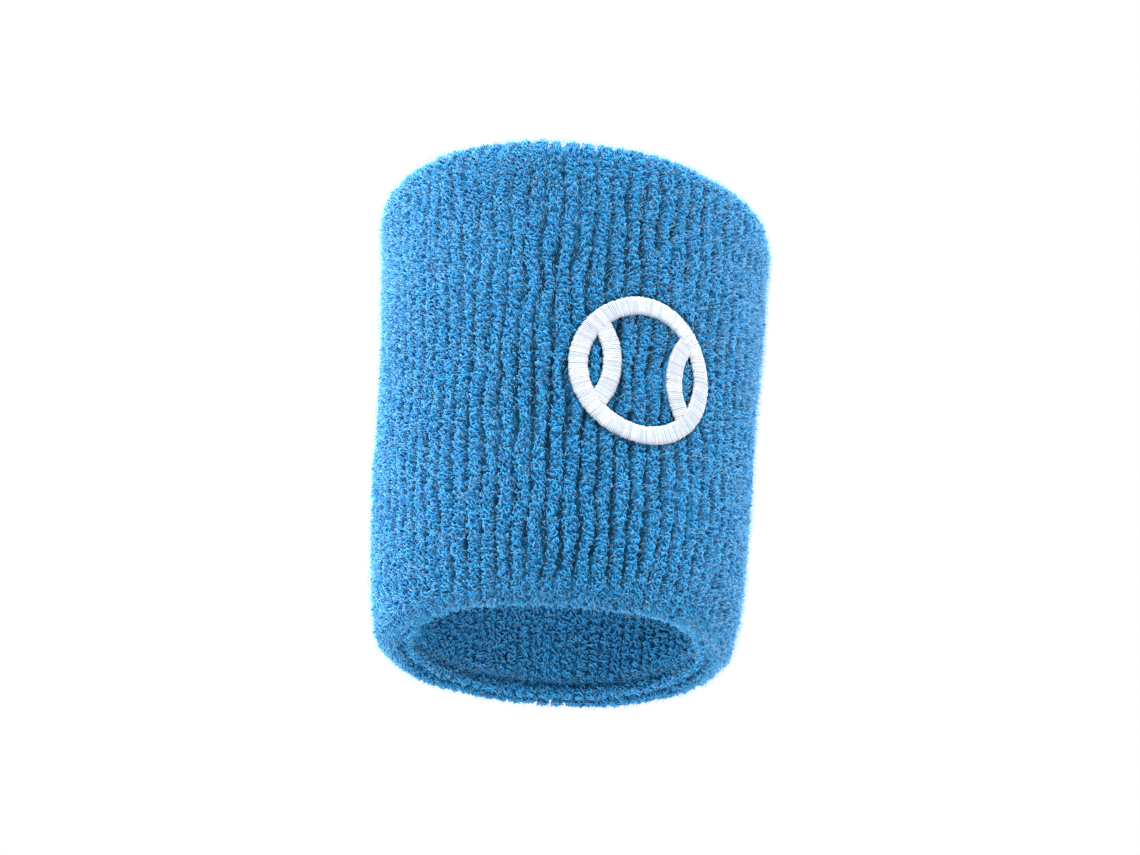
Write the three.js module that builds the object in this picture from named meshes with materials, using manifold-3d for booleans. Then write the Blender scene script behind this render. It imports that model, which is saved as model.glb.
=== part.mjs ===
// A terry sweat wristband. One knitted tube is folded back on itself into a double wall, with its pile
// of loops outwards, and its two cut edges are linked together half way up the inner face. An elastic
// yarn runs round and round in the knit, and an emblem, a plain ball drawn in three satin-stitched
// columns, sits in the pile of the outer face.
// Millimetres. +Z is along the arm, the origin is the centre of the lower rim, the emblem faces -Y.
import * as THREE from "three";
import { mergeVertices } from "three/addons/utils/BufferGeometryUtils.js";
import Module from "manifold-3d";

const wasm = await Module();
wasm.setup();

// Overall size
const LENGTH = 80;
const UPPER_DIAMETER = 66.8; // outside, over the tips of the pile
const LOWER_DIAMETER = 61.8;
const BARREL = 0.4; // how far the wall stands out of its straight taper, half way up

// Thickness of each layer of the double wall
const CLEARANCE = 0.3; // between any two pieces
const PILE_HEIGHT = 2;
const GROUND_THICKNESS = 0.5;
const ELASTIC_DIAMETER = 0.35;
const BACKING_THICKNESS = 0.3;
const BOBBIN_THICKNESS = 0.3;

const ELASTIC_PITCH = 10; // along the knitted tube, from one turn to the next

// Linked seam that joins the two cut edges of the tube
const SEAM_HEIGHT = LENGTH / 2;
const SEAM_THREAD_DIAMETER = 0.6;
const SEAM_SWING = 0.35; // of the thread, up and down from the middle of the seam
const SEAM_STITCHES = 24;

// Embroidered emblem: a ball's round outline and the two curves of its seam
const EMBLEM_HEIGHT = 39.8; // of its centre, above the lower rim
const EMBLEM_DIAMETER = 25;
const EMBLEM_THICKNESS = 1;
const EMBLEM_TOP_DEPTH = 0.2; // below the tips of the pile
const COLUMN_WIDTH = 2.8;
const CURVE_RADIUS = 11;
const CURVE_OFFSET = 16.5; // of a curve's centre, from the ball's centre
const CURVE_GAP = 0.7; // from the ends of a curve to the outline
const BACKING_MARGIN = 2.5; // the backing is wider than the emblem by this, all round
const BOBBIN_MARGIN = 0.5; // the bobbin thread's columns are narrower by this on each side

// Fineness of the facets
const AROUND = 48;
const ELASTIC_AROUND = 36;
const FOLD_STEPS = 5; // odd, so that the middle facet of each fold is flat and the band can stand on it
const WALL_STEPS = 2;
const YARN_SIDES = 4;
const DISC_SIDES = 40;

// Depths below the tips of the pile, from the outside in
const GROUND_DEPTH = PILE_HEIGHT + CLEARANCE;
const ELASTIC_DEPTH = GROUND_DEPTH + GROUND_THICKNESS + CLEARANCE;
const BACKING_DEPTH = ELASTIC_DEPTH + ELASTIC_DIAMETER + CLEARANCE;
const BOBBIN_DEPTH = BACKING_DEPTH + BACKING_THICKNESS + CLEARANCE;
const WALL = BOBBIN_DEPTH + BOBBIN_THICKNESS + BACKING_DEPTH;

const FOLD_RADIUS = WALL / 2;
const FOLD_CENTRE = FOLD_RADIUS * Math.cos(Math.PI / 2 / FOLD_STEPS); // of the flat facet, from the rim

// Radius of the middle of the double wall, at a height.
function middleRadius(height) {
  const up = height / LENGTH;
  const outer = THREE.MathUtils.lerp(LOWER_DIAMETER, UPPER_DIAMETER, up) / 2;
  return outer + BARREL * 4 * up * (1 - up) - FOLD_RADIUS;
}

// One face of the folded tube in section, at a depth below the tips of the pile. It starts at the lower
// cut edge on the inner side, goes down, out round the lower fold, up, in round the upper fold and down
// to the upper cut edge. half is half the space between the two edges.
function faceInSection(depth, half) {
  const reach = FOLD_RADIUS - depth;
  const lower = FOLD_CENTRE;
  const upper = LENGTH - FOLD_CENTRE;
  const at = (side, height) => new THREE.Vector2(middleRadius(height) + side * reach, height);
  const run = (side, from, to) =>
    Array.from({ length: WALL_STEPS }, (_, i) =>
      at(side, THREE.MathUtils.lerp(from, to, i / WALL_STEPS)));
  const fold = (height, start) =>
    Array.from({ length: FOLD_STEPS }, (_, i) => {
      const turn = start + (Math.PI * i) / FOLD_STEPS;
      return new THREE.Vector2(
        middleRadius(height) + reach * Math.cos(turn), height + reach * Math.sin(turn));
    });
  return [
    ...run(-1, SEAM_HEIGHT - half, lower),
    ...fold(lower, Math.PI),
    ...run(1, lower, upper),
    ...fold(upper, 0),
    ...run(-1, upper, SEAM_HEIGHT + half),
    at(-1, SEAM_HEIGHT + half),
  ];
}

// A section in radius and height, turned about the Z axis.
function turned(section) {
  const closed = [...section, section[0]];
  return new THREE.LatheGeometry(closed, AROUND).rotateX(Math.PI / 2);
}

// A layer of the folded tube, from one depth to another.
function layer(outerDepth, innerDepth, half) {
  return turned([
    ...faceInSection(outerDepth, half),
    ...faceInSection(innerDepth, half).reverse(),
  ]);
}

// A yarn that runs round the Z axis through places given by turn, radius and height.
function yarn(places, diameter, closed) {
  const position = [];
  const index = [];
  for (const { turn, radius, height } of places)
    for (let side = 0; side < YARN_SIDES; side++) {
      const about = (2 * Math.PI * side) / YARN_SIDES;
      const out = radius + (diameter / 2) * Math.cos(about);
      const up = height + (diameter / 2) * Math.sin(about);
      position.push(out * Math.sin(turn), -out * Math.cos(turn), up);
    }
  const links = closed ? places.length : places.length - 1;
  for (let i = 0; i < links; i++)
    for (let side = 0; side < YARN_SIDES; side++) {
      const next = (side + 1) % YARN_SIDES;
      const here = i * YARN_SIDES;
      const there = ((i + 1) % places.length) * YARN_SIDES;
      index.push(here + side, there + side, there + next, here + side, there + next, here + next);
    }
  if (!closed) {
    const last = (places.length - 1) * YARN_SIDES;
    for (let side = 1; side < YARN_SIDES - 1; side++)
      index.push(0, side, side + 1, last, last + side + 1, last + side);
  }
  const geometry = new THREE.BufferGeometry();
  geometry.setAttribute("position", new THREE.Float32BufferAttribute(position, 3));
  geometry.setIndex(index);
  return geometry;
}

// Solids for cutting and joining
function solid(geometry) {
  const bare = geometry.clone();
  bare.deleteAttribute("normal");
  bare.deleteAttribute("uv");
  const merged = mergeVertices(bare, 1e-4);
  return new wasm.Manifold(new wasm.Mesh({
    numProp: 3,
    vertProperties: new Float32Array(merged.attributes.position.array),
    triVerts: new Uint32Array(merged.index.array),
  }));
}

function geometryOf(manifold) {
  const mesh = manifold.getMesh();
  const geometry = new THREE.BufferGeometry();
  geometry.setAttribute("position", new THREE.BufferAttribute(mesh.vertProperties, 3));
  geometry.setIndex(new THREE.BufferAttribute(mesh.triVerts, 1));
  geometry.computeVertexNormals();
  return geometry;
}

// A disc that goes through the outer wall at the emblem, moved sideways.
function discThrough(radius, sideways = 0) {
  const deep = UPPER_DIAMETER;
  const disc = new THREE.CylinderGeometry(radius, radius, deep, DISC_SIDES);
  disc.translate(sideways, -deep / 2, 0).translate(0, 0, EMBLEM_HEIGHT);
  return solid(disc);
}

// The part of the outer wall between two depths, from the lower fold to the upper one.
function outerShell(fromDepth, toDepth) {
  const along = Array.from({ length: WALL_STEPS + 1 }, (_, i) =>
    THREE.MathUtils.lerp(FOLD_CENTRE, LENGTH - FOLD_CENTRE, i / WALL_STEPS));
  const face = (depth) =>
    along.map((height) => new THREE.Vector2(middleRadius(height) + FOLD_RADIUS - depth, height));
  return solid(turned([...face(fromDepth), ...face(toDepth).reverse()]));
}

// A column of the emblem, through the outer wall: side 0 is the outline, -1 and 1 are the two curves.
// It is wider than the embroidered column by grow, on each side.
function emblemColumn(side, grow = 0) {
  const half = COLUMN_WIDTH / 2 + grow;
  const radius = side ? CURVE_RADIUS : (EMBLEM_DIAMETER - COLUMN_WIDTH) / 2;
  const sideways = side * CURVE_OFFSET;
  const hoop = discThrough(radius + half, sideways).subtract(discThrough(radius - half, sideways));
  if (!side) return hoop;
  return hoop.intersect(discThrough(EMBLEM_DIAMETER / 2 - COLUMN_WIDTH - CURVE_GAP + grow));
}

const EMBLEM_FLOOR = EMBLEM_TOP_DEPTH + EMBLEM_THICKNESS;
const SEAM_OPENING = SEAM_SWING + SEAM_THREAD_DIAMETER / 2 + CLEARANCE; // half of it

function terryPile() {
  const columns = [-1, 0, 1].map((side) => emblemColumn(side, CLEARANCE));
  const seat = columns[0].add(columns[1]).add(columns[2])
    .intersect(outerShell(-PILE_HEIGHT, EMBLEM_FLOOR + CLEARANCE));
  return geometryOf(solid(layer(0, PILE_HEIGHT, SEAM_OPENING)).subtract(seat));
}

function groundKnit() {
  return layer(GROUND_DEPTH, GROUND_DEPTH + GROUND_THICKNESS, SEAM_OPENING);
}

// The elastic follows the folded tube all the way from one cut edge to the other.
function elasticYarn() {
  const section = faceInSection(ELASTIC_DEPTH + ELASTIC_DIAMETER / 2, SEAM_OPENING);
  const route = new THREE.CurvePath();
  for (let i = 1; i < section.length; i++)
    route.add(new THREE.LineCurve(section[i - 1], section[i]));
  const turns = route.getLength() / ELASTIC_PITCH;
  const steps = Math.round(turns * ELASTIC_AROUND);
  const places = Array.from({ length: steps + 1 }, (_, i) => {
    const { x: radius, y: height } = route.getPoint(i / steps);
    return { turn: (2 * Math.PI * i) / ELASTIC_AROUND, radius, height };
  });
  return yarn(places, ELASTIC_DIAMETER, false);
}

// The linking thread zigzags between the two cut edges of the ground.
function seamThread() {
  const depth = GROUND_DEPTH + GROUND_THICKNESS / 2;
  const radius = middleRadius(SEAM_HEIGHT) - FOLD_RADIUS + depth;
  const places = Array.from({ length: AROUND * 2 }, (_, i) => {
    const turn = (Math.PI * i) / AROUND;
    return { turn, radius, height: SEAM_HEIGHT + SEAM_SWING * Math.sin(SEAM_STITCHES * turn) };
  });
  return yarn(places, SEAM_THREAD_DIAMETER, true);
}

function embroidery(side) {
  return geometryOf(emblemColumn(side).intersect(outerShell(EMBLEM_TOP_DEPTH, EMBLEM_FLOOR)));
}

// The bobbin thread lies behind each column, on the far side of the backing.
function bobbinThread(side) {
  const behind = outerShell(BOBBIN_DEPTH, BOBBIN_DEPTH + BOBBIN_THICKNESS);
  return geometryOf(emblemColumn(side, -BOBBIN_MARGIN).intersect(behind));
}

function backing() {
  const disc = discThrough(EMBLEM_DIAMETER / 2 + BACKING_MARGIN);
  return geometryOf(disc.intersect(outerShell(BACKING_DEPTH, BACKING_DEPTH + BACKING_THICKNESS)));
}

function fabric(colour, roughness) {
  return new THREE.MeshStandardMaterial({ color: colour, roughness, metalness: 0 });
}

const cotton = fabric(0x3f83bd, 0.95);
const nylon = fabric(0x1d5c91, 0.85);
const rubber = fabric(0xe4e2da, 0.6);
const linkingThread = fabric(0x2b6ea8, 0.7);
const rayon = fabric(0xeef3fa, 0.45);
const nonWoven = fabric(0xf1efe8, 0.9);

const wristband = new THREE.Group();

function add(name, geometry, material) {
  const mesh = new THREE.Mesh(geometry, material);
  mesh.name = name;
  wristband.add(mesh);
}

add("terry_pile", terryPile(), cotton);
add("ground_knit", groundKnit(), nylon);
add("elastic_yarn", elasticYarn(), rubber);
add("closing_seam_thread", seamThread(), linkingThread);
add("embroidery_backing", backing(), nonWoven);
for (const [name, side] of [["outline", 0], ["left_curve", -1], ["right_curve", 1]]) {
  add(`emblem_${name}`, embroidery(side), rayon);
  add(`bobbin_thread_${name}`, bobbinThread(side), rayon);
}

export default wristband;
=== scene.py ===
"""A terry sweat wristband: a folded double-wall tube of ribbed knit, covered with loops of pile yarn,
with a ball embroidered in white satin stitch. Metres, +Z along the arm, the emblem faces -Y."""

import math

import bpy
import numpy as np
from mathutils import Matrix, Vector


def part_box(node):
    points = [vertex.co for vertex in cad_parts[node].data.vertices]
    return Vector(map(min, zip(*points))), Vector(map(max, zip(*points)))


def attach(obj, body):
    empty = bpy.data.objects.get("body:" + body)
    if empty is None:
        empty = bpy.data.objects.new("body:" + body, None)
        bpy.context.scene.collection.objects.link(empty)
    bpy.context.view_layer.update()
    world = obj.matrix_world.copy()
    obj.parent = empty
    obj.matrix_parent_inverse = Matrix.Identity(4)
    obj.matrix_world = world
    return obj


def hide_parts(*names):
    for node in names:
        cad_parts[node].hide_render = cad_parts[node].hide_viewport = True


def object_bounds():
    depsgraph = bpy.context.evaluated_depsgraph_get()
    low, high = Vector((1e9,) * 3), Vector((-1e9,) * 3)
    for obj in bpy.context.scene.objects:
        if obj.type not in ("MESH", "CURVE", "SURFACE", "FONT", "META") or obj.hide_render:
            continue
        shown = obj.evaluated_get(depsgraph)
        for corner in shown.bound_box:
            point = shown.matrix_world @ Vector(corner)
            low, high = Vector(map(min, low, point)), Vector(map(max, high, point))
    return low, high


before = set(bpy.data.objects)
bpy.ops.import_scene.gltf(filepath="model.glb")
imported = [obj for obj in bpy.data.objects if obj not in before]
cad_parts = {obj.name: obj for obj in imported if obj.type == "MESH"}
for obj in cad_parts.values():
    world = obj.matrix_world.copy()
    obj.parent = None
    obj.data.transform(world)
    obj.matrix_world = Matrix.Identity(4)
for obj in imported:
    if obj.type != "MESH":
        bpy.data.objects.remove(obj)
cad_low, cad_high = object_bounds()

MM = 0.001
TURN = 2 * math.pi
rng = np.random.default_rng(7)
LEVEL_SLACK = 0.05 * MM  # vertices this near to a level count as being on it

# ---------------------------------------------------------------- sizes, from the frame


def node_points(name):
    """A CAD node's vertices."""
    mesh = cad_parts[name].data
    points = np.empty(len(mesh.vertices) * 3)
    mesh.vertices.foreach_get("co", points)
    return points.reshape(-1, 3)


def radii_near(points, height):
    """The largest and smallest radius of the vertices on the level nearest to a height."""
    gap = np.abs(points[:, 2] - height)
    radius = np.hypot(points[:, 0], points[:, 1])[gap < gap.min() + LEVEL_SLACK]
    return radius.max(), radius.min()


LENGTH = cad_high.z - cad_low.z
pile_cad = node_points("terry_pile")
LEVELS = [0.05 * LENGTH, 0.5 * LENGTH, 0.95 * LENGTH]
OUTLINE = np.polyfit(LEVELS, [radii_near(pile_cad, h)[0] for h in LEVELS], 2)  # outer radius by height
outermost, innermost = radii_near(pile_cad, LEVELS[0])
WALL = outermost - innermost
FOLD = WALL / 2  # radius of both folded rims, over the tips of the pile

seam_low, seam_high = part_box("closing_seam_thread")
SEAM_HEIGHT = (seam_low.z + seam_high.z) / 2
SEAM_HALF = (seam_high.z - seam_low.z) / 2

emblem_low, emblem_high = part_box("emblem_outline")
EMBLEM_HEIGHT = (emblem_low.z + emblem_high.z) / 2
EMBLEM_RADIUS = (emblem_high.z - emblem_low.z) / 2
curve_low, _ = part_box("emblem_right_curve")

# The view
CAMERA_AZIMUTH = math.radians(-22.5)
CAMERA_ELEVATION = math.radians(-22)
CAMERA_DISTANCE = 0.69
CAMERA_ROLL = math.radians(3)
CAMERA_LENS = 129  # in millimetres, on a sensor 36 mm wide
AIM_SIDEWAYS = 0.75 * MM  # of the band's axis, to the right in the view
AIM_HEIGHT = 41 * MM

# How the band's surface swells, dips and hangs
SWELL = 0.25 * MM  # anywhere, in or out
SWELL_SIZE = 28 * MM
TOP_TILT = 0.041  # slope of the upper rim, across the view
TILT_POWER = 3  # how soon the tilt of a rim fades away from it
BACK_LIFT = 0.5 * MM  # of the lower rim's far side
FRONT_DROP = 0.7 * MM  # and its near side
SIDE_POWER = 6  # how narrow those two are
DENT = 1.0 * MM  # of the outer face, on the left
DENT_PLACE = 0.6  # how high up it is, in lengths of the band
DENT_HALF = 16 * MM
DRAWN_IN = 1.4 * MM  # how far the outer face is drawn in at the lower rim
DRAWN_REACH = 6 * MM
BULGE = 0.4 * MM  # of the outer face, just under the upper rim
BULGE_PLACE = 0.92  # how high up it is, in lengths of the band
BULGE_HALF = 0.04
ROLL_TURN = math.radians(46)  # round each rim from the inner face, the roll beside its crease
ROLL_HEIGHT = 0.9 * MM
ROLL_WIDTH = 0.9 * MM
CREASE_TURN = math.radians(62)
CREASE_DEPTH = 1.9 * MM
CREASE_WIDTH = 0.6 * MM
TUCK_TURN = math.radians(22)  # where the roll ends on the inner face
TUCK_DEPTH = 0.9 * MM
TUCK_WIDTH = 0.8 * MM
PINCH = 0.62  # share of these depths, as a mean round the band
PINCH_SWING = 0.38  # how much more on the far side, and less on the near side

# The knit and its pile
RIBS = 72
RIB_STRAY = 0.14  # how far a rib strays to the side in long waves, in ribs
RIB_STRAY_SIZE = 16 * MM
RIB_WOBBLE = 0.12  # and in short waves
RIB_WOBBLE_SIZE = 3 * MM
RIB_LEAST = 0.38  # how clearly the ribs stand out where they are weakest round the band, from 0 to 1
RIB_MORE = 0.58  # and how much more where they are strongest
RIB_BEST = 0.5  # where that is, in radians round from the front
RIB_LOBE = 1.6  # how narrow that stretch is
RIB_PATCHES = 0.08  # how unevenly they stand out, at random
RIB_PATCH_SIZE = 14 * MM
RIB_AT_RIMS = 0.35  # share of that on the rims and the inner face
RIB_ENDS = 1.5 * MM  # over what length the ribs begin at either rim
RIB_OVER = 3 * MM  # how far they run on over the upper rim
RIB_FADE = 0.75  # how much they fade towards the upper rim, on the left
RIB_FADE_START = 18 * MM  # how far under the rim that is half done
RIB_FADE_LENGTH = 4 * MM
GROOVE_POWER = 2  # how narrow a groove is
RIB_FILL = 0.70  # share of a rib's pitch that carries loops
RIB_REACH = 0.40  # how far from the middle of its rib a loop may lean, in ribs
COURSE = 0.62 * MM  # from one row of loops to the next
YARN = 0.125 * MM  # radius of the pile yarn
CREST_DEPTH = 1.15 * MM  # of the knit's ground under the tips of the pile
GROOVE_DEPTH = 1.0 * MM  # of the groove between two ribs, under that
GRAIN = 0.13 * MM  # unevenness of the ground
GRAIN_SIZE = 1.1 * MM
INNER_PAINTED_SHADE = 0.2  # painted shade: how much darker the ground lies between the loops of the inner face

# ---------------------------------------------------------------- the folded tube


def middle_radius(height):
    """Radius of the middle of the double wall, at a height."""
    return np.polyval(OUTLINE, height) - FOLD


INNER_LOW = SEAM_HEIGHT - FOLD  # length of the inner face under the seam
RIM = math.pi * FOLD
OUTER = LENGTH - 2 * FOLD
INNER_HIGH = LENGTH - FOLD - SEAM_HEIGHT
LOWER_RIM = INNER_LOW  # where each stretch starts, along the folded tube
OUTER_FACE = LOWER_RIM + RIM
UPPER_RIM = OUTER_FACE + OUTER
INNER_UPPER = UPPER_RIM + RIM
ALONG = INNER_UPPER + INNER_HIGH


def section(along):
    """Places on the middle line of the wall and the way out of it, in radius and height. along runs
    from the lower cut edge on the inner face, round the lower rim, up, and round the upper rim."""
    low_turn = math.pi + (along - LOWER_RIM) / FOLD
    high_turn = (along - UPPER_RIM) / FOLD
    inner_side = (along < LOWER_RIM) | (along >= INNER_UPPER)
    low_rim = (along >= LOWER_RIM) & (along < OUTER_FACE)
    high_rim = (along >= UPPER_RIM) & (along < INNER_UPPER)
    height = np.select(
        [along < LOWER_RIM, low_rim, high_rim, along >= INNER_UPPER],
        [SEAM_HEIGHT - along, FOLD, LENGTH - FOLD, LENGTH - FOLD - (along - INNER_UPPER)],
        FOLD + along - OUTER_FACE)
    turn = np.select([inner_side, low_rim, high_rim], [math.pi, low_turn, high_turn], 0.0)
    return middle_radius(height), height, np.cos(turn), np.sin(turn)


WAVES = 10  # in the sum that makes a random field
WAVES_HEIGHT = 3.2  # what the sum is divided by to keep it at about -1 to 1


def waves(around, along, size, seed):
    """A smooth random field on the tube, about -1 to 1, whose waves are about size long."""
    draw = np.random.default_rng(seed)
    radius = middle_radius(LENGTH / 2) + FOLD
    total = np.zeros(np.broadcast(around, along).shape)
    for _ in range(WAVES):
        turns = round(draw.normal() * TURN * radius / size / 2)
        climb = draw.normal() * TURN / size / 2
        total = total + np.sin(turns * around + climb * along + draw.uniform(0, TURN))
    return total / WAVES_HEIGHT


def rim_tilt(points):
    """How much higher each point sits than it would on a square band: the upper rim tips a little to
    one side, and the lower rim waves up at the back and down in front."""
    sideways = points[..., 0] * math.cos(CAMERA_AZIMUTH) + points[..., 1] * math.sin(CAMERA_AZIMUTH)
    away = points[..., 1] * math.cos(CAMERA_AZIMUTH) - points[..., 0] * math.sin(CAMERA_AZIMUTH)
    up = points[..., 2] / LENGTH
    low = np.clip(1 - up, 0, 1) ** TILT_POWER
    high = np.clip(up, 0, 1) ** TILT_POWER
    back = np.clip(away / middle_radius(0), 0, 1) ** SIDE_POWER
    front = np.clip(-away / middle_radius(0), 0, 1) ** SIDE_POWER
    return (BACK_LIFT * back - FRONT_DROP * front) * low - sideways * TOP_TILT * high


def crease(around, along):
    """How far the surface falls below a plain fold: each rim is pinched into a crease, a roll beside it
    and a tuck where the roll meets the inner face, deepest on the far side."""
    fall = 0.0
    for turned in (along - LOWER_RIM, INNER_UPPER - along):
        for place, depth, width in ((CREASE_TURN, CREASE_DEPTH, CREASE_WIDTH),
                                    (ROLL_TURN, -ROLL_HEIGHT, ROLL_WIDTH),
                                    (TUCK_TURN, TUCK_DEPTH, TUCK_WIDTH)):
            fall = fall + depth * np.exp(-((turned - FOLD * place) / width) ** 2)
    return fall * (PINCH - PINCH_SWING * np.cos(around - CAMERA_AZIMUTH))


def creased(around, along):
    """How deep in a crease a place is, from 0 to 1."""
    return np.clip(crease(around, along) / CREASE_DEPTH, 0, 1)


def rolled(along):
    """How much of each rim's roll there is at a place, from 0 to 1."""
    gaps = [(turned - FOLD * ROLL_TURN) / ROLL_WIDTH for turned in (along - LOWER_RIM, INNER_UPPER - along)]
    return sum(np.exp(-gap ** 2) for gap in gaps)


def on_tube(around, along, depth):
    """Points at a depth under the tips of the pile, and the way out of the surface there."""
    middle, height, out, up = section(along)
    swell = SWELL * waves(around, along, SWELL_SIZE, 1)
    reach = FOLD - depth + swell - crease(around, along)
    outer_side = np.clip(out, 0, 1)
    drawn = DRAWN_IN * np.exp(-(height / DRAWN_REACH) ** 2)
    bulge = BULGE * np.exp(-((height - BULGE_PLACE * LENGTH) / (BULGE_HALF * LENGTH)) ** 2)
    to_left = np.clip(np.cos(around - CAMERA_AZIMUTH + math.pi / 2), 0, 1) ** 2
    dent = DENT * to_left * np.exp(-((height - DENT_PLACE * LENGTH) / DENT_HALF) ** 2)
    radius = middle + reach * out + outer_side * (bulge - drawn - dent)
    points = np.stack([radius * np.sin(around), -radius * np.cos(around), height + reach * up], -1)
    points[..., 2] += rim_tilt(points)
    normals = np.stack([out * np.sin(around), -out * np.cos(around), up + 0 * around], -1)
    return points, normals


def rib_shift(around, along):
    """How far a rib strays to the side, in ribs."""
    return (RIB_STRAY * waves(around, along, RIB_STRAY_SIZE, 2)
            + RIB_WOBBLE * waves(around, along, RIB_WOBBLE_SIZE, 3))


def rib_strength(around, along):
    """How clearly the ribs stand out, from 0 to 1: best on the outer face, where the knit is pulled
    straight, and unevenly round the band."""
    from_rims = np.minimum(along - OUTER_FACE, UPPER_RIM + RIB_OVER - along)
    outer = 1 / (1 + np.exp(-from_rims / RIB_ENDS))
    lobe = RIB_LEAST + RIB_MORE * (0.5 + 0.5 * np.cos(around - RIB_BEST)) ** RIB_LOBE
    to_left = 0.5 - 0.5 * np.sin(around - CAMERA_AZIMUTH)
    high = 1 / (1 + np.exp((UPPER_RIM - RIB_FADE_START - along) / RIB_FADE_LENGTH))
    even = (RIB_AT_RIMS + (1 - RIB_AT_RIMS) * outer) * lobe * (1 - RIB_FADE * to_left * high)
    return even + RIB_PATCHES * waves(around, along, RIB_PATCH_SIZE, 5)


# ---------------------------------------------------------------- the emblem's plane


def emblem_place(around, along):
    """Sideways and upward distance from the emblem's middle, and whether it is on the outer face."""
    points, _ = on_tube(around, along, 0.0)
    faces = (points[..., 1] < 0) & (along > OUTER_FACE) & (along < UPPER_RIM)
    return points[..., 0], points[..., 2] - EMBLEM_HEIGHT, faces


EMBLEM_LEVEL = 2.5 * MM  # vertices this near to the emblem's middle show its width


def column_width():
    """Width of the emblem's columns, from the outline's vertices near the middle of its height."""
    points = node_points("emblem_outline")
    level = np.abs(points[:, 2] - EMBLEM_HEIGHT) < EMBLEM_LEVEL
    return EMBLEM_RADIUS - np.abs(points[level, 0]).min()


COLUMN = column_width()
CURVE_RADIUS = 11 * MM  # of the middle of either curve
CURVE_MIDDLE = curve_low.x + COLUMN / 2 + CURVE_RADIUS
PRESS_REACH = 0.9 * MM  # how soon the pile stands up again beside the embroidery
PRESS_INSIDE = 0.45  # how far it is pressed down all over the ball, from 0 to 1
PRESS_DEPTH = 0.45 * MM  # how far the ground sinks where it is pressed
PRESS_FLATTENS = 0.6  # share of a groove that goes where it is pressed


def column_distance(x, y):
    """Distance from a point in the emblem's plane to the edge of the nearest column, negative inside."""
    half = COLUMN / 2
    from_middle = np.hypot(x, y)
    outline = np.abs(from_middle - (EMBLEM_RADIUS - half)) - half
    curve = np.abs(np.hypot(np.abs(x) - CURVE_MIDDLE, y) - CURVE_RADIUS) - half
    curve = np.where(from_middle < EMBLEM_RADIUS - COLUMN, curve, COLUMN)
    return np.minimum(outline, curve)


def pressed(around, along):
    """How far the embroidery presses the pile down, from 0 to 1."""
    x, y, faces = emblem_place(around, along)
    near = np.exp(-np.clip(column_distance(x, y), 0, None) / PRESS_REACH)
    inside = PRESS_INSIDE * (np.hypot(x, y) < EMBLEM_RADIUS)
    return np.where(faces, np.clip(np.maximum(near, inside), 0, 1), 0)


# ---------------------------------------------------------------- meshes

MAP_MARGIN = 0.06  # round each tube on the map its colours are baked to, in squares of that map
MAP_CAP = 0.02  # size of a tube's end there


def finished(name, points, faces, material, **attributes):
    """A new piece that rides on the band, with one number per point for each attribute. Its faces all
    have the same number of corners."""
    mesh = bpy.data.meshes.new(name)
    corners = faces.shape[1]
    mesh.vertices.add(len(points))
    mesh.vertices.foreach_set("co", points.astype(np.float32).ravel())
    mesh.loops.add(faces.size)
    mesh.loops.foreach_set("vertex_index", faces.astype(np.int32).ravel())
    mesh.polygons.add(len(faces))
    mesh.polygons.foreach_set("loop_start", np.arange(0, faces.size, corners, dtype=np.int32))
    mesh.polygons.foreach_set("use_smooth", np.ones(len(faces), dtype=bool))
    mesh.update(calc_edges=True)
    for key, values in attributes.items():
        layer = mesh.attributes.new(key, "FLOAT", "POINT")
        layer.data.foreach_set("value", values.astype(np.float32))
    mesh.materials.append(material)
    piece = bpy.data.objects.new(name, mesh)
    bpy.context.scene.collection.objects.link(piece)
    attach(piece, "root")
    return piece


def tube_points(paths, side, radius, sides, flat=1.0):
    """The points of closed tubes along many paths of equal length: paths is (tubes, rings, 3), side is
    a way across each tube, and flat squeezes the section."""
    count, rings, _ = paths.shape
    ahead = np.gradient(paths, axis=1)
    ahead /= np.linalg.norm(ahead, axis=2, keepdims=True)
    across = side[:, None, :] - ahead * (ahead * side[:, None, :]).sum(2, keepdims=True)
    across /= np.linalg.norm(across, axis=2, keepdims=True)
    out = np.cross(ahead, across)
    turn = (np.arange(sides) + 0.5) * TURN / sides
    radius = np.broadcast_to(radius, (count, rings))[:, :, None, None]
    return paths[:, :, None, :] + radius * (
        np.cos(turn)[None, None, :, None] * across[:, :, None, :]
        + flat * np.sin(turn)[None, None, :, None] * out[:, :, None, :])


def tube_faces(rings, sides):
    """The triangles of one closed tube, and their corners' places along it and round it, 0 to 1."""
    ring, corner = np.meshgrid(np.arange(rings - 1), np.arange(sides), indexing="ij")
    ring, corner = ring.ravel(), corner.ravel()
    steps = [[(0, 0), (0, 1), (1, 1)], [(0, 0), (1, 1), (1, 0)]]
    faces, places = [], []
    for triangle in steps:
        faces.append(np.stack([(ring + r) * sides + (corner + c) % sides for r, c in triangle], -1))
        places.append(np.stack([np.stack([(ring + r) / (rings - 1), (corner + c) / sides], -1)
                                for r, c in triangle], -2))
    for end, order in ((0, (0, 2, 1)), (rings - 1, (0, 1, 2))):
        for fan in range(1, sides - 1):
            turn = [0, fan, fan + 1]
            faces.append(np.array([[end * sides + turn[k] for k in order]]))
            spread = np.array([(0.0, 0.0), (MAP_CAP, 0.0), (MAP_CAP, MAP_CAP)])
            places.append(np.abs(spread[list(order)] - [end / (rings - 1), 0])[None])
    return np.concatenate(faces), np.concatenate(places)


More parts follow.
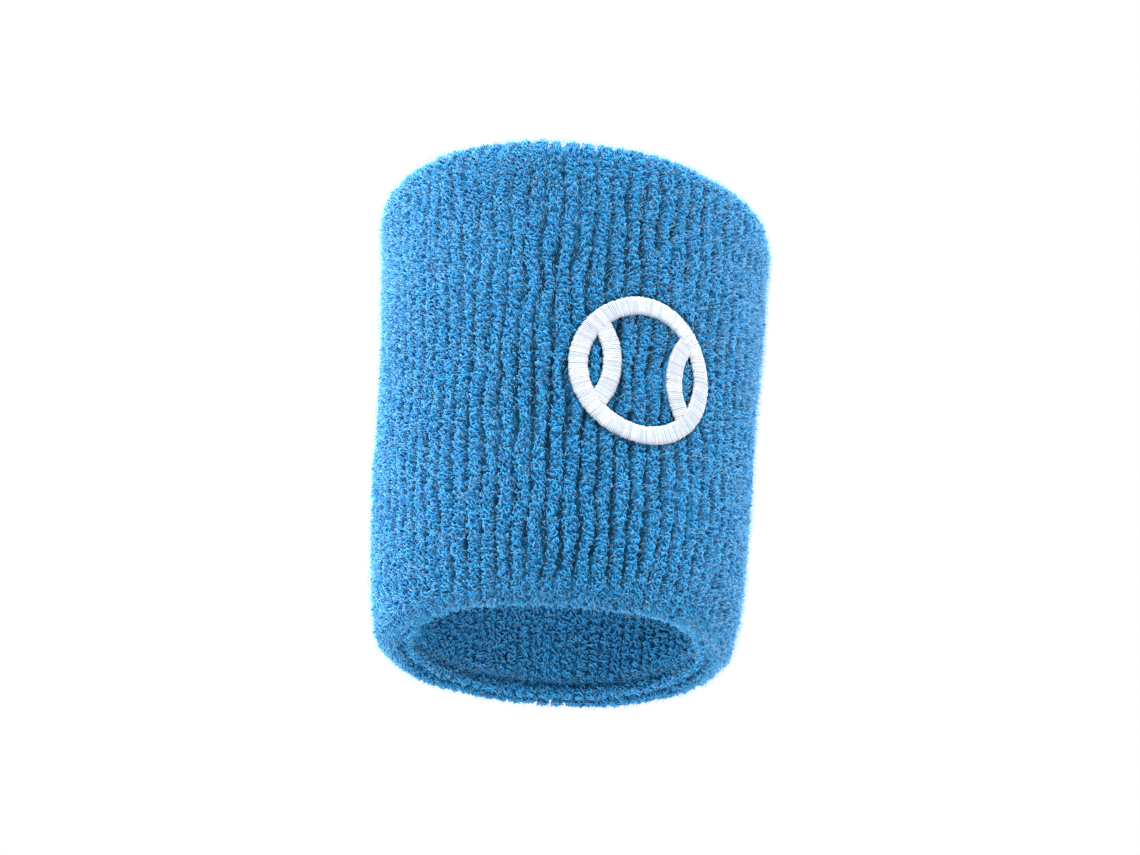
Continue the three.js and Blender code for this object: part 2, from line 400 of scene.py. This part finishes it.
def make_tubes(name, material, paths, side, radius, sides, flat=1.0, **attributes):
    """A piece of closed tubes, each with a square of its own on the map the colours are baked to.
    Attributes are one number for each ring of each tube."""
    count, rings, _ = paths.shape
    points = tube_points(paths, side, radius, sides, flat).reshape(-1, 3)
    one, places = tube_faces(rings, sides)
    faces = (one[None] + (np.arange(count) * rings * sides)[:, None, None]).reshape(-1, 3)
    spread = {key: np.repeat(np.broadcast_to(values, (count, rings)).ravel(), sides)
              for key, values in attributes.items()}
    piece = finished(name, points, faces, material, **spread)
    across = math.ceil(math.sqrt(count))
    cell = np.stack([np.arange(count) % across, np.arange(count) // across], -1)
    spots = (cell[:, None, None, :] + MAP_MARGIN + (1 - 2 * MAP_MARGIN) * places[None]) / across
    layer = piece.data.uv_layers.new(name="OFBake")
    layer.uv.foreach_set("vector", spots.astype(np.float32).ravel())
    return piece


# ---------------------------------------------------------------- materials


def new_material(name):
    """A material with an empty tree but for its Principled shader."""
    material = bpy.data.materials.new(name)
    material.use_nodes = True
    tree = material.node_tree
    shader = tree.nodes["Principled BSDF"]
    return material, tree, shader


def add_node(tree, kind, settings=None, **inputs):
    """A node with its settings and inputs, where an input that is a socket is linked."""
    node = tree.nodes.new(kind)
    for key, value in (settings or {}).items():
        setattr(node, key, value)
    for key, value in inputs.items():
        socket = node.inputs[int(key[1:]) if key[0] == "_" and key[1:].isdigit() else key.replace("_", " ")]
        if isinstance(value, bpy.types.NodeSocket):
            tree.links.new(value, socket)
        else:
            socket.default_value = value
    return node


def ramp(tree, factor, stops):
    """A colour ramp through stops of (position, linear colour)."""
    node = add_node(tree, "ShaderNodeValToRGB", Fac=factor)
    elements = node.color_ramp.elements
    while len(elements) < len(stops):
        elements.new(0.5)
    for element, (position, colour) in zip(elements, stops):
        element.position = position
        element.color = (*colour, 1)
    return node.outputs["Color"]


def noise(tree, scale, detail=2.0, roughness=0.5):
    """Noise in the object's own space, scale to the metre."""
    place = add_node(tree, "ShaderNodeTexCoord")
    node = add_node(tree, "ShaderNodeTexNoise", Vector=place.outputs["Object"],
                    Scale=scale, Detail=detail, Roughness=roughness)
    return node.outputs["Fac"]


def math_node(tree, operation, a, b):
    """The result of one sum or product of two values or sockets."""
    node = add_node(tree, "ShaderNodeMath", {"operation": operation}, _0=a, _1=b)
    return node.outputs[0]


def attribute(tree, name):
    """The value a mesh carries under a name."""
    return add_node(tree, "ShaderNodeAttribute", {"attribute_name": name}).outputs["Fac"]


DEEP_BLUE = (0.007, 0.095, 0.21)
MID_BLUE = (0.015, 0.195, 0.42)
LIGHT_BLUE = (0.034, 0.32, 0.64)
PALE_BLUE = (0.14, 0.54, 0.86)


def weighted_sum(tree, terms):
    """The sum of sockets, each multiplied by its weight."""
    total = 0.0
    for socket, weight in terms:
        total = math_node(tree, "ADD", total, math_node(tree, "MULTIPLY", socket, weight))
    return total


def pile_material():
    """Cotton pile yarn: a shade of its own for each loop and fine fibres, with painted shade darker towards
    its foot and in a crease, and painted light paler on a rim's roll and the inner face.
    """
    material, tree, shader = new_material("terry cotton")
    fibres = noise(tree, 2600, 3)
    patches = noise(tree, 90, 2)
    shade = weighted_sum(tree, [(attribute(tree, "tone"), 0.1), (attribute(tree, "lift"), 0.13),
                                (fibres, 0.08), (patches, 0.14)])
    colour = ramp(tree, shade, [(0.0, DEEP_BLUE), (0.14, MID_BLUE), (0.39, LIGHT_BLUE), (0.63, PALE_BLUE)])
    tree.links.new(colour, shader.inputs["Base Color"])
    shader.inputs["Roughness"].default_value = 0.95
    shader.inputs["Specular IOR Level"].default_value = 0.12
    shader.inputs["Sheen Weight"].default_value = 0.3
    shader.inputs["Sheen Roughness"].default_value = 0.3
    shader.inputs["Sheen Tint"].default_value = (0.8, 0.88, 1.0, 1)
    return material


def ground_material():
    """The knit under the pile, seen in the grooves between the ribs, with painted shade that darkens it in
    the grooves, in a crease and on the inner face.
    """
    material, tree, shader = new_material("knit ground")
    grain = noise(tree, 1700, 3, 0.6)
    shade = weighted_sum(tree, [(grain, 0.6), (attribute(tree, "lift"), 0.35)])
    colour = ramp(tree, shade, [(0.3, (0.002, 0.022, 0.047)), (0.48, (0.008, 0.085, 0.185)),
                                (0.62, (0.020, 0.23, 0.48))])
    tree.links.new(colour, shader.inputs["Base Color"])
    bump = add_node(tree, "ShaderNodeBump", Strength=0.8, Distance=0.3 * MM, Height=grain)
    tree.links.new(bump.outputs["Normal"], shader.inputs["Normal"])
    shader.inputs["Roughness"].default_value = 0.95
    shader.inputs["Specular IOR Level"].default_value = 0.1
    return material


def fuzz_material():
    """Single cotton fibres, paler than the yarn."""
    material, tree, shader = new_material("cotton fibres")
    grain = noise(tree, 700, 2)
    colour = ramp(tree, grain, [(0.3, (0.15, 0.46, 0.76)), (0.7, (0.36, 0.66, 0.92))])
    tree.links.new(colour, shader.inputs["Base Color"])
    shader.inputs["Roughness"].default_value = 0.9
    return material


def satin_material():
    """White embroidery thread, with the sheen of rayon."""
    material, tree, shader = new_material("embroidery rayon")
    streaks = noise(tree, 1500, 2)
    shade = weighted_sum(tree, [(streaks, 0.5), (attribute(tree, "tone"), 0.5)])
    colour = ramp(tree, shade, [(0.2, (0.265, 0.31, 0.385)), (0.5, (0.365, 0.395, 0.435)),
                                (0.8, (0.44, 0.46, 0.485))])
    tree.links.new(colour, shader.inputs["Base Color"])
    shader.inputs["Roughness"].default_value = 0.42
    shader.inputs["Anisotropic"].default_value = 0.4
    shader.inputs["Sheen Weight"].default_value = 0.15
    return material


def plain_yarn_material(name, dark, light, roughness, scale):
    """A simple yarn or felt for the pieces inside the wall."""
    material, tree, shader = new_material(name)
    grain = noise(tree, scale, 3)
    tree.links.new(ramp(tree, grain, [(0.3, dark), (0.7, light)]), shader.inputs["Base Color"])
    bump = add_node(tree, "ShaderNodeBump", Strength=0.5, Distance=0.1 * MM, Height=grain)
    tree.links.new(bump.outputs["Normal"], shader.inputs["Normal"])
    shader.inputs["Roughness"].default_value = roughness
    return material


def colour_inside(name, dark, light, roughness, scale, nodes):
    """Gives CAD nodes that stay as they are a yarn or felt of their own."""
    material = plain_yarn_material(name, dark, light, roughness, scale)
    for node in nodes:
        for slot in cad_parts[node].material_slots:
            slot.material = material


# ---------------------------------------------------------------- the knit under the pile

GROUND_COLUMNS = 8  # of its mesh, in one rib
GROUND_ROWS = 160
GROOVE_PAINTED_SHADE = 1.3  # painted shade: how much darker the ground lies in a groove
EDGE_TURN = 1.0 * MM  # how far the cut edges turn in at the seam
EDGE_REACH = 0.5 * MM


def rib_profile(across):
    """0 on a rib's crest and 1 in the groove, for a place across the rib in ribs."""
    return (0.5 + 0.5 * np.cos(TURN * (across - 0.5))) ** GROOVE_POWER


def ground_depth(around, along):
    """Depth of the knit's ground under the tips of the pile."""
    across = around * RIBS / TURN + rib_shift(around, along)
    press = pressed(around, along)
    groove = GROOVE_DEPTH * rib_profile(across) * rib_strength(around, along) * (1 - PRESS_FLATTENS * press)
    grain = GRAIN * waves(around, along, GRAIN_SIZE, 4)
    return CREST_DEPTH + groove + grain + PRESS_DEPTH * press


def make_ground(material):
    """One ribbed sheet, folded at both rims, whose cut edges turn in at the seam."""
    columns, rows = RIBS * GROUND_COLUMNS, GROUND_ROWS
    around = np.arange(columns)[None, :] * TURN / columns
    along = np.linspace(SEAM_HALF, ALONG - SEAM_HALF, rows)[:, None]
    depth = ground_depth(around, along)
    edge = np.minimum(along, ALONG - along) - SEAM_HALF
    depth = depth + EDGE_TURN * np.exp(-edge / EDGE_REACH)
    points, _ = on_tube(around + 0 * along, along + 0 * around, depth)
    row, column = np.meshgrid(np.arange(rows - 1), np.arange(columns), indexing="ij")
    after = (column + 1) % columns
    quads = np.stack([row * columns + column, row * columns + after,
                      (row + 1) * columns + after, (row + 1) * columns + column], -1).reshape(-1, 4)
    across = around * RIBS / TURN + rib_shift(around, along)
    # painted shade: the ground is darker in the grooves, in a crease and on the inner face, and paler on
    # the crests
    shade = rib_profile(across) * np.clip(GROOVE_PAINTED_SHADE * rib_strength(around, along), 0, 1)
    lift = 1 - shade - creased(around, along)
    lift = lift - INNER_PAINTED_SHADE * ((along < LOWER_RIM) | (along > INNER_UPPER))
    return finished("terry_ground", points.reshape(-1, 3), quads, material, lift=lift.ravel())


# ---------------------------------------------------------------- the pile

LOOP_RINGS = 5
LOOP_SIDES = 3
STEP_SPREAD = 0.6  # how far a loop strays from its course, in courses
LOOSE = 0.35  # share of the loops that lie any way, the rest lean together
SLANT = -0.75  # which way the others lean, in radians from across the rib
SLANT_WAVES = 0.6  # how much that way changes from place to place
SLANT_SIZE = 9 * MM
SLANT_SPREAD = 0.4  # and from loop to loop
LOOP_BITE = 0.08 * MM  # how far a loop's feet sink into the ground
LOOP_HEIGHTS = (0.62, 1.12)  # in depths of the ground
LOOP_HALVES = (0.2 * MM, 0.42 * MM)  # half of the way from foot to foot
LOOP_SWAY = 0.3 * MM
LOOP_JITTER = 0.05 * MM
LOOP_REACHES = (0.72, 1.3)
LOOP_ROUND = 1.1  # how much lower the loops at a rib's edge are
LOOP_SHOULDER = 0.8  # how soon a loop rises, lower for a squarer one
LOOP_BELLY = 0.4  # how much wider it is than its feet
YARN_SPREAD = (0.8, 1.2)  # from loop to loop
YARN_SWELL = np.array([0.8, 1, 1.1, 1, 0.8])  # along one loop, ring by ring
CREASE_SHORT = 0.6  # how much lower the loops in a crease are
CREASE_NARROW = 0.4
CREASE_STILL = 0.7  # how much less they sway
PRESS_SHORT = 0.45  # how much lower the loops are that the embroidery presses
FREE_REACH = 0.6  # how much further a loop leans where there are no ribs, in ribs
CLUMPS = 0.12  # how unevenly high the pile is, by clumps of loops
CLUMPS_LEAST = 0.4  # share of that where there are no ribs
CLUMP_SIZE = 1.2 * MM
CLUMP_TONE = 0.15  # how much one clump is paler than another
ROLL_PAINTED_LIGHT = 1.2  # painted light: how much paler the loops on a rim's roll are
CREASE_PAINTED_SHADE = 1.4  # painted shade: and how much darker those in its crease
INNER_PAINTED_LIGHT = 0.65  # painted light: how much paler the loops of the inner face are


def loop_feet(start, end, course, per_rib):
    """Where the loops between two places along the tube stand, rib by rib and course by course, and how
    far each is from the middle of its rib, in ribs."""
    courses = round((end - start) / course)
    rib, row, strand = np.meshgrid(np.arange(RIBS), np.arange(courses), np.arange(per_rib), indexing="ij")
    rib, row, strand = rib.ravel(), row.ravel(), strand.ravel()
    along = start + (row + 0.5 + rng.uniform(-STEP_SPREAD, STEP_SPREAD, len(row))) * course
    across = ((strand + 0.5 + rng.uniform(-0.5, 0.5, len(row))) / per_rib - 0.5) * RIB_FILL
    around = (rib + across) * TURN / RIBS
    around = around - rib_shift(around, along) * TURN / RIBS
    return around, along, across


def keep_to_rib(paths, foot, ring_way, across, strength):
    """Draws loops that lean over the groove back towards the middle of their own rib."""
    pitch = TURN * np.hypot(foot[:, 0], foot[:, 1]) / RIBS
    reach = RIB_REACH + FREE_REACH * (1 - strength)
    reach = (pitch * reach * rng.uniform(*LOOP_REACHES, len(foot)))[:, None]
    sideways = ((paths - foot[:, None, :]) * ring_way[:, None, :]).sum(2) + (across * pitch)[:, None]
    paths += ring_way[:, None, :] * (reach * np.tanh(sideways / reach) - sideways)[:, :, None]


def loop_heights(around, along, across):
    """How high each loop stands: less at a rib's edge, in a crease and where the embroidery presses."""
    strength = np.clip(rib_strength(around, along), 0, 1)
    share = CLUMPS_LEAST + (1 - CLUMPS_LEAST) * strength
    clumps = CLUMPS * share * waves(around, along, CLUMP_SIZE, 6)
    crest = (1 - LOOP_ROUND * across ** 2) * (1 + clumps) * (1 - CREASE_SHORT * creased(around, along))
    flat = 1 - PRESS_SHORT * pressed(around, along)
    return (CREST_DEPTH - YARN) * crest * flat * rng.uniform(*LOOP_HEIGHTS, len(around))


def make_loops(name, material, around, along, across):
    """One closed tube for each loop: up from one foot, over and down to the other."""
    count = len(around)
    depth = ground_depth(around, along) + LOOP_BITE
    foot, out = on_tube(around, along, depth)
    ring_way = np.stack([np.cos(around), np.sin(around), 0 * around], -1)
    along_way = np.cross(out, ring_way)
    slant = SLANT + SLANT_WAVES * waves(around, along, SLANT_SIZE, 8)
    lie = np.where(rng.uniform(0, 1, count) < LOOSE, rng.uniform(0, TURN, count),
                   slant + rng.normal(0, SLANT_SPREAD, count))
    run = np.cos(lie)[:, None] * ring_way + np.sin(lie)[:, None] * along_way
    side = np.cross(out, run)
    in_crease = creased(around, along)
    height = loop_heights(around, along, across)
    half = rng.uniform(*LOOP_HALVES, count) * (1 - CREASE_NARROW * in_crease)
    sway = rng.normal(0, LOOP_SWAY, (count, 2)) * (1 - CREASE_STILL * in_crease)[:, None]
    turn = np.linspace(0, math.pi, LOOP_RINGS)
    rise = np.sin(turn) ** LOOP_SHOULDER
    belly = 1 + LOOP_BELLY * np.sin(turn)
    paths = (foot[:, None, :]
             + run[:, None, :] * (-np.cos(turn) * belly * half[:, None])[:, :, None]
             + out[:, None, :] * (rise * height[:, None])[:, :, None]
             + side[:, None, :] * (rise ** 2 * sway[:, :1])[:, :, None]
             + run[:, None, :] * (rise ** 2 * sway[:, 1:])[:, :, None])
    paths[:, 1:-1] += rng.normal(0, LOOP_JITTER, (count, LOOP_RINGS - 2, 3))
    keep_to_rib(paths, foot, ring_way, across, np.clip(rib_strength(around, along), 0, 1))
    radius = YARN * rng.uniform(*YARN_SPREAD, count)[:, None] * YARN_SWELL
    tone = (rng.uniform(0, 1, count) + CLUMP_TONE * waves(around, along, CLUMP_SIZE, 7))[:, None]
    # painted shade and light: each loop darker towards its foot and where it stands lower, darker in a
    # crease, paler on a rim's roll and on the inner face
    lift = (rise[None, :] * height[:, None] + CREST_DEPTH - depth[:, None]) / CREST_DEPTH
    inner = (along < LOWER_RIM) | (along > INNER_UPPER)
    lift = lift + (ROLL_PAINTED_LIGHT * rolled(along) - CREASE_PAINTED_SHADE * in_crease + INNER_PAINTED_LIGHT * inner)[:, None]
    piece = make_tubes(name, material, paths, side, radius, LOOP_SIDES, tone=tone, lift=lift)


SEAM_BARE = 0.9 * MM  # how far beside the seam the pile begins


def make_pile(material):
    """All the loops, in pieces small enough to handle: the outer face by sectors, the rims, the bore."""
    seam_clear = SEAM_HALF + SEAM_BARE
    stretches = [  # name, start, end, course, loops side by side in a rib, pieces
        ("pile_outer", OUTER_FACE, UPPER_RIM, COURSE, 7, 8),
        ("pile_lower_rim", LOWER_RIM, OUTER_FACE, COURSE, 6, 2),
        ("pile_upper_rim", UPPER_RIM, INNER_UPPER, COURSE, 6, 2),
        ("pile_inner_low", seam_clear, LOWER_RIM, COURSE * 1.1, 5, 3),
        ("pile_inner_high", INNER_UPPER, ALONG - seam_clear, COURSE * 1.1, 5, 3),
    ]
    for name, start, end, course, per_rib, parts in stretches:
        around, along, across = loop_feet(start, end, course, per_rib)
        x, y, faces = emblem_place(around, along)
        clear = ~(faces & (column_distance(x, y) < 0.0))
        around, along, across = around[clear], along[clear], across[clear]
        sector = np.floor((around % TURN) / TURN * parts).astype(int)
        for part in range(parts):
            mine = sector == part
            make_loops(f"{name}_{part + 1}", material, around[mine], along[mine], across[mine])


FUZZ_RINGS = 4
FUZZ_SIDES = 3
FUZZ_COUNT = 86000  # before some are left out
FUZZ_PARTS = 6
FUZZ_RADIUS = 0.015 * MM
FUZZ_TAPER = np.array([1, 1, 0.9, 0.4])  # along one fibre, ring by ring
FUZZ_DEPTH = 0.55 * MM  # of their feet, under the tips of the pile
FUZZ_HEIGHTS = (0.5 * MM, 1.25 * MM)
FUZZ_DRIFT = 0.26 * MM
FUZZ_CLEAR = 0.4 * MM  # round the embroidery
FUZZ_FRONT = 0.42  # share of the fibres that is there in front
FUZZ_SIDES_MORE = 0.25  # how much more of them at both sides
FUZZ_RIGHT = 0.07  # at the right, and less at the left
FUZZ_TOP = 0.5  # and under the upper rim
FUZZ_START = 0.45  # the height where that begins, in lengths of the band
FUZZ_FULL = 0.95  # and where it ends


def fuzz_share(around, along):
    """How many of the stray fibres are there, from 0 to 1: fewest in front, where the band is handled,
    most under the upper rim, and none on the near side of the opening."""
    _, height, _, _ = section(along)
    up = np.clip((height / LENGTH - FUZZ_START) / (FUZZ_FULL - FUZZ_START), 0, 1)
    away = around - CAMERA_AZIMUTH
    share = FUZZ_FRONT + FUZZ_SIDES_MORE * np.sin(away) ** 2 + FUZZ_RIGHT * np.sin(away) + FUZZ_TOP * up
    opening = along < OUTER_FACE - RIM / 2
    return share * np.where(opening, 0.5 - 0.5 * np.cos(away), 1.0)


def make_fuzz(material):
    """Fine cotton fibres that stray from the yarn and blur the pile's surface."""
    around = rng.uniform(0, TURN, FUZZ_COUNT)
    along = rng.uniform(LOWER_RIM, UPPER_RIM + RIM / 2, FUZZ_COUNT)
    x, y, faces = emblem_place(around, along)
    clear = ~(faces & (column_distance(x, y) < FUZZ_CLEAR))
    clear &= rng.uniform(0, 1, FUZZ_COUNT) < fuzz_share(around, along)
    around, along = around[clear], along[clear]
    count = len(around)
    foot, out = on_tube(around, along, FUZZ_DEPTH)
    ring_way = np.stack([np.cos(around), np.sin(around), 0 * around], -1)
    along_way = np.cross(out, ring_way)
    t = np.linspace(0, 1, FUZZ_RINGS)
    height = rng.uniform(*FUZZ_HEIGHTS, count)
    drift = rng.normal(0, FUZZ_DRIFT, (count, 4))
    paths = (foot[:, None, :]
             + out[:, None, :] * (height[:, None] * np.sin(t * math.pi / 2))[:, :, None]
             + ring_way[:, None, :] * (drift[:, :1] * t + drift[:, 1:2] * t ** 2)[:, :, None]
             + along_way[:, None, :] * (drift[:, 2:3] * t + drift[:, 3:] * t ** 2)[:, :, None])
    radius = FUZZ_RADIUS * FUZZ_TAPER
    side = ring_way + 0.3 * out
    for part in range(FUZZ_PARTS):
        mine = slice(part * count // FUZZ_PARTS, (part + 1) * count // FUZZ_PARTS)
        piece = make_tubes(f"pile_fuzz_{part + 1}", material, paths[mine], side[mine], radius, FUZZ_SIDES)


# ---------------------------------------------------------------- the closing seam

SEAM_STITCH = 0.8 * MM  # from one stitch to the next
SEAM_THREAD = 0.2 * MM  # radius
SEAM_RINGS = 9
SEAM_SIDES = 6
SEAM_REACH = 0.5 * MM  # how far a stitch goes in beyond the cut edge
SEAM_DEPTH = 0.5 * MM  # of a stitch's middle, under the tips of the pile
SEAM_DIVE = 0.9 * MM  # of its two ends
SEAM_UNEVEN = 0.04 * MM
SEAM_SLANT = 0.45  # half of what a stitch runs on round the band, in stitches


def make_seam(material):
    """Slanting stitches that link the two cut edges on the inner face."""
    bore = middle_radius(SEAM_HEIGHT) - FOLD
    count = round(TURN * bore / SEAM_STITCH)
    climb = np.linspace(-1, 1, SEAM_RINGS)
    around = (np.arange(count)[:, None] + SEAM_SLANT * climb) * TURN / count
    half = SEAM_HALF + SEAM_REACH
    along = np.where(climb < 0, -climb * half, ALONG - climb * half) + 0 * around
    depth = SEAM_DEPTH + SEAM_DIVE * np.abs(climb) ** 3 + rng.normal(0, SEAM_UNEVEN, count)[:, None]
    paths, out = on_tube(around, along, depth)
    side = np.cross(out[:, SEAM_RINGS // 2], np.array([0, 0, 1.0]))
    tone = rng.uniform(0, 1, count)[:, None]
    piece = make_tubes("seam_stitches", material, paths, side, SEAM_THREAD, SEAM_SIDES, tone=tone)
    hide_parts("closing_seam_thread")


# ---------------------------------------------------------------- embroidery

STITCH = 0.30 * MM  # from one thread to the next
STITCH_RADIUS = 0.64 * STITCH
STITCH_FLAT = 0.7
STITCH_RINGS = 9
STITCH_SIDES = 6
STITCH_DEPTH = 0.32 * MM  # of a column's edges, under the tips of the pile
STITCH_RISE = 0.14 * MM  # of its middle, over its edges
STITCH_DIVE = 0.15 * MM  # of a thread's two ends
STITCH_OVERLAP = 0.1 * MM  # of the curves' ends and the outline
STITCH_RAGGED = 0.03  # how far a thread ends short of its column's edge or past it, in half columns
STITCH_SKEW = 0.0012  # how far it strays to the side, in radians
STITCH_UNEVEN = 0.012 * MM  # how much higher or lower it lies
CURVE_REACH = math.radians(60)  # of a curve, to either side of its middle, before the outline cuts it


def lift_onto_band(x, y, depth):
    """Points of the emblem's plane, laid on the outer face at a depth under the pile's tips."""
    along = OUTER_FACE + EMBLEM_HEIGHT + y - FOLD
    surface = np.polyval(OUTLINE, EMBLEM_HEIGHT + y)
    around = np.arcsin(x / surface)
    return on_tube(around, along, depth)[0]


def stitch_depth(over):
    """Depth of a satin stitch's middle line under the pile's tips, across its column from -1 to 1."""
    return STITCH_DEPTH - STITCH_RISE * (1 - np.abs(over) ** 8)


def threads_within(bearing, centre, radius, limit):
    """Of the threads across an arc, those that lie within a distance from the emblem's middle: their
    bearings, and where each begins and ends across its column, from -1 to 1."""
    fine = np.linspace(-1, 1, 81)
    reach = radius + COLUMN / 2 * fine
    from_middle = np.hypot(centre + reach * np.cos(bearing[:, None]), reach * np.sin(bearing[:, None]))
    kept = from_middle < limit
    long_enough = kept.sum(1) > 6
    bearing, kept = bearing[long_enough], kept[long_enough]
    low = fine[kept.argmax(1)]
    high = fine[len(fine) - 1 - kept[:, ::-1].argmax(1)]
    return bearing, low, high


def make_column(name, node, material, centre, radius, half_arc, facing, limit):
    """A satin-stitched column along an arc: parallel threads across it, each cut off at the limit, a
    distance from the emblem's middle."""
    count = round(2 * half_arc * radius / STITCH)
    step = (np.arange(count) + 0.5) / count * 2 - 1
    bearing, low, high = threads_within(facing + half_arc * step, centre, radius, limit)
    count = len(bearing)
    low = low + rng.normal(0, STITCH_RAGGED, count)
    high = high + rng.normal(0, STITCH_RAGGED, count)
    over = np.sin(np.linspace(-1, 1, STITCH_RINGS) * math.pi / 2)
    spot = (low + high)[:, None] / 2 + (high - low)[:, None] / 2 * over
    reach = radius + COLUMN / 2 * spot
    bearing = bearing + rng.normal(0, STITCH_SKEW, count)
    x = centre + reach * np.cos(bearing[:, None])
    y = reach * np.sin(bearing[:, None])
    depth = np.broadcast_to(stitch_depth(over), x.shape) + rng.normal(0, STITCH_UNEVEN, count)[:, None]
    depth[:, [0, -1]] += STITCH_DIVE
    paths = lift_onto_band(x, y, depth)
    side = np.stack([-np.sin(bearing), 0 * bearing, np.cos(bearing)], -1)
    tone = rng.uniform(0, 1, count)[:, None]
    piece = make_tubes(name, material, paths, side, STITCH_RADIUS, STITCH_SIDES, STITCH_FLAT, tone=tone)
    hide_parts(node)


def make_emblem(material):
    """The ball's outline and its two curves."""
    within = EMBLEM_RADIUS - COLUMN + STITCH_OVERLAP
    outline = EMBLEM_RADIUS - COLUMN / 2
    make_column("emblem_outline_stitches", "emblem_outline", material, 0.0, outline, math.pi,
                0.0, EMBLEM_RADIUS + COLUMN)
    make_column("emblem_left_stitches", "emblem_left_curve", material, -CURVE_MIDDLE, CURVE_RADIUS,
                CURVE_REACH, 0.0, within)
    make_column("emblem_right_stitches", "emblem_right_curve", material, CURVE_MIDDLE, CURVE_RADIUS,
                CURVE_REACH, math.pi, within)


# ---------------------------------------------------------------- camera, light and floor

FILL_LIGHT = 0.82
FLOOR_HALF = 2.0


def aim(thing, place, at, roll=0.0):
    """Puts a camera or light at a place and points it, turned about its own line by roll."""
    back = (np.array(place) - np.array(at))
    back = back / np.linalg.norm(back)
    right = np.cross([0, 0, 1.0], back)
    right /= np.linalg.norm(right)
    up = np.cross(back, right)
    c, s = math.cos(roll), math.sin(roll)
    right, up = c * right + s * up, c * up - s * right
    matrix = np.eye(4)
    matrix[:3, 0], matrix[:3, 1], matrix[:3, 2], matrix[:3, 3] = right, up, back, place
    thing.matrix_world = Matrix(matrix)


def around_band(azimuth, elevation, distance):
    """A place seen from the band's middle, with azimuth 0 in front of the emblem."""
    return (distance * math.sin(azimuth) * math.cos(elevation),
            -distance * math.cos(azimuth) * math.cos(elevation),
            LENGTH / 2 + distance * math.sin(elevation))


def make_camera():
    """A long lens under the band, looking up at it."""
    data = bpy.data.cameras.new("camera")
    data.sensor_width = 36
    data.lens = CAMERA_LENS
    data.clip_start, data.clip_end = 0.05, 20
    camera = bpy.data.objects.new("camera", data)
    bpy.context.scene.collection.objects.link(camera)
    bpy.context.scene.camera = camera
    middle = np.array([AIM_SIDEWAYS * math.cos(CAMERA_AZIMUTH), AIM_SIDEWAYS * math.sin(CAMERA_AZIMUTH),
                       AIM_HEIGHT])
    place = np.array(around_band(CAMERA_AZIMUTH, CAMERA_ELEVATION, CAMERA_DISTANCE)) - [0, 0, LENGTH / 2]
    aim(camera, place + middle, middle, CAMERA_ROLL)


def add_light(name, azimuth, elevation, distance, size, power):
    """A round softbox aimed at the band, its bearing in degrees from the front of the emblem."""
    data = bpy.data.lights.new(name, "AREA")
    data.shape = "DISK"
    data.size, data.energy = size, power
    light = bpy.data.objects.new(name, data)
    bpy.context.scene.collection.objects.link(light)
    aim(light, around_band(math.radians(azimuth), math.radians(elevation), distance), (0, 0, LENGTH / 2))


def make_world():
    """White all round for the camera, and an even soft light on the band."""
    world = bpy.data.worlds.new("studio")
    world.use_nodes = True
    tree = world.node_tree
    tree.nodes.clear()
    seen = add_node(tree, "ShaderNodeBackground", Color=(1, 1, 1, 1), Strength=1.0)
    lit = add_node(tree, "ShaderNodeBackground", Color=(0.97, 0.99, 1, 1), Strength=FILL_LIGHT)
    path = add_node(tree, "ShaderNodeLightPath")
    mix = add_node(tree, "ShaderNodeMixShader", _0=path.outputs["Is Camera Ray"],
                   _1=lit.outputs[0], _2=seen.outputs[0])
    out = add_node(tree, "ShaderNodeOutputWorld")
    tree.links.new(mix.outputs[0], out.inputs["Surface"])
    bpy.context.scene.world = world


def make_floor(height):
    """A pale floor that the band stands on. It is one-sided, so a camera under it looks through."""
    mesh = bpy.data.meshes.new("floor")
    corners = [(x * FLOOR_HALF, y * FLOOR_HALF, 0) for x, y in ((-1, -1), (1, -1), (1, 1), (-1, 1))]
    mesh.from_pydata(corners, [], [(0, 1, 2, 3)])
    material, tree, shader = new_material("pale floor")
    shader.inputs["Base Color"].default_value = (0.86, 0.86, 0.86, 1)
    shader.inputs["Roughness"].default_value = 0.7
    clear = add_node(tree, "ShaderNodeBsdfTransparent")
    side = add_node(tree, "ShaderNodeNewGeometry")
    mix = add_node(tree, "ShaderNodeMixShader", _0=side.outputs["Backfacing"],
                   _1=shader.outputs[0], _2=clear.outputs[0])
    tree.links.new(mix.outputs[0], tree.nodes["Material Output"].inputs["Surface"])
    mesh.materials.append(material)
    floor = bpy.data.objects.new("floor", mesh)
    floor.location.z = height
    floor.visible_shadow = False
    floor.visible_diffuse = False
    floor.visible_glossy = False
    bpy.context.scene.collection.objects.link(floor)


# ---------------------------------------------------------------- the scene

make_camera()
make_world()
add_light("left softbox", -133, 8, 0.9, 1.1, 38)
add_light("top softbox", -22, 60, 0.9, 0.9, 29)
add_light("low softbox", -22, -60, 0.9, 0.9, 7)
add_light("right softbox", 98, 8, 0.9, 1.1, 16)

cotton = pile_material()
ground = make_ground(ground_material())
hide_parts("terry_pile")
make_pile(cotton)
make_fuzz(fuzz_material())
make_emblem(satin_material())
make_seam(plain_yarn_material("linking thread", (0.01, 0.08, 0.22), (0.06, 0.26, 0.55), 0.7, 3000))

colour_inside("ground nylon", (0.004, 0.03, 0.09), (0.02, 0.12, 0.32), 0.85, 1200, ["ground_knit"])
colour_inside("covered elastic", (0.6, 0.6, 0.55), (0.85, 0.84, 0.8), 0.6, 2500, ["elastic_yarn"])
colour_inside("non-woven", (0.7, 0.69, 0.65), (0.9, 0.89, 0.86), 0.9, 900, ["embroidery_backing"])
colour_inside("bobbin thread", (0.75, 0.75, 0.75), (0.92, 0.92, 0.92), 0.7, 2500,
              ["bobbin_thread_outline", "bobbin_thread_left_curve", "bobbin_thread_right_curve"])

bpy.context.scene.view_settings.view_transform = "Standard"

seen_low, seen_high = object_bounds()
make_floor(seen_low.z)
